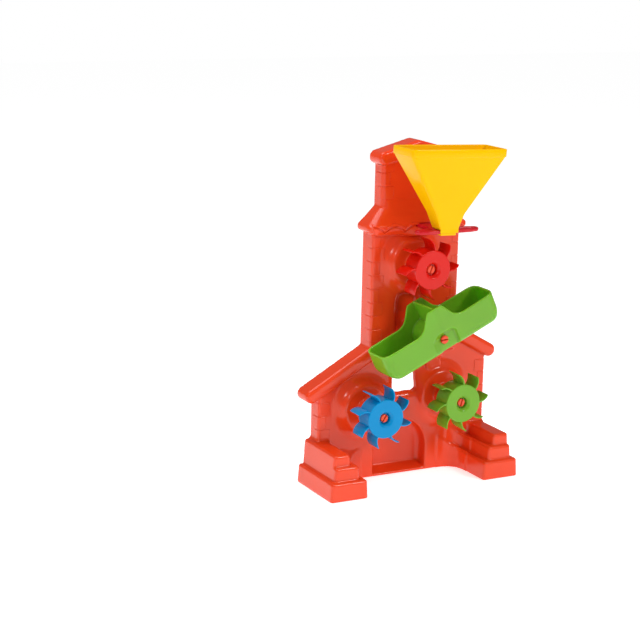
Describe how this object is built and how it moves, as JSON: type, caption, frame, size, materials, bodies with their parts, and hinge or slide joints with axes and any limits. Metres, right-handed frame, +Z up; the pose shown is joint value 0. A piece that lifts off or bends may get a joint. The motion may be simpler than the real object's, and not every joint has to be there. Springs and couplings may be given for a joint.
{
  "type": "sand wheel toy",
  "caption": "Tower house sand toy: a lift-off hopper feeds a bladed wheel, a tipping two-bucket trough and two lower bladed wheels on a stepped open-backed shell.",
  "frame": {"origin": "middle of the bounding box on the ground plane, under the toy", "axes": "+X to the right seen from the front, +Y towards the open back, +Z up; the wheels and the trough turn about Y"},
  "size_m": [0.252, 0.098, 0.395],
  "materials": {
    "body_plastic": "glossy moulded",
    "pin_plastic": "glossy moulded",
    "top_wheel_plastic": "glossy moulded",
    "left_wheel_plastic": "glossy moulded",
    "right_wheel_plastic": "glossy moulded",
    "trough_plastic": "glossy moulded",
    "funnel_plastic": "glossy moulded",
    "holder_plastic": "glossy moulded"
  },
  "bodies": {
    "house": {"body_shell": "body_plastic", "funnel_holder": "holder_plastic", "top_axle": "pin_plastic", "left_axle": "pin_plastic", "right_axle": "pin_plastic", "trough_axle": "pin_plastic"},
    "upper_wheel": {"top_wheel": "top_wheel_plastic"},
    "lower_left_wheel": {"left_wheel": "left_wheel_plastic"},
    "lower_right_wheel": {"right_wheel": "right_wheel_plastic"},
    "tipping_trough": {"trough": "trough_plastic"},
    "hopper": {"funnel": "funnel_plastic"}
  },
  "joints": [
    {"name": "top_wheel_spin", "type": "hinge", "parent": "house", "child": "upper_wheel", "pos_m": [0.0045, -0.014, 0.2545], "axis": [0, 1, 0], "continuous": true},
    {"name": "left_wheel_spin", "type": "hinge", "parent": "house", "child": "lower_left_wheel", "pos_m": [-0.0505, -0.014, 0.087], "axis": [0, 1, 0], "continuous": true},
    {"name": "right_wheel_spin", "type": "hinge", "parent": "house", "child": "lower_right_wheel", "pos_m": [0.0515, -0.014, 0.094], "axis": [0, 1, 0], "continuous": true},
    {"name": "trough_tip", "type": "hinge", "parent": "house", "child": "tipping_trough", "pos_m": [0.015, -0.019, 0.1765], "axis": [0, 1, 0], "range_deg": [0, 50]},
    {"name": "funnel_lift", "type": "slide", "parent": "house", "child": "hopper", "axis": [0, 0, 1], "range_m": [0, 0.05]}
  ]
}
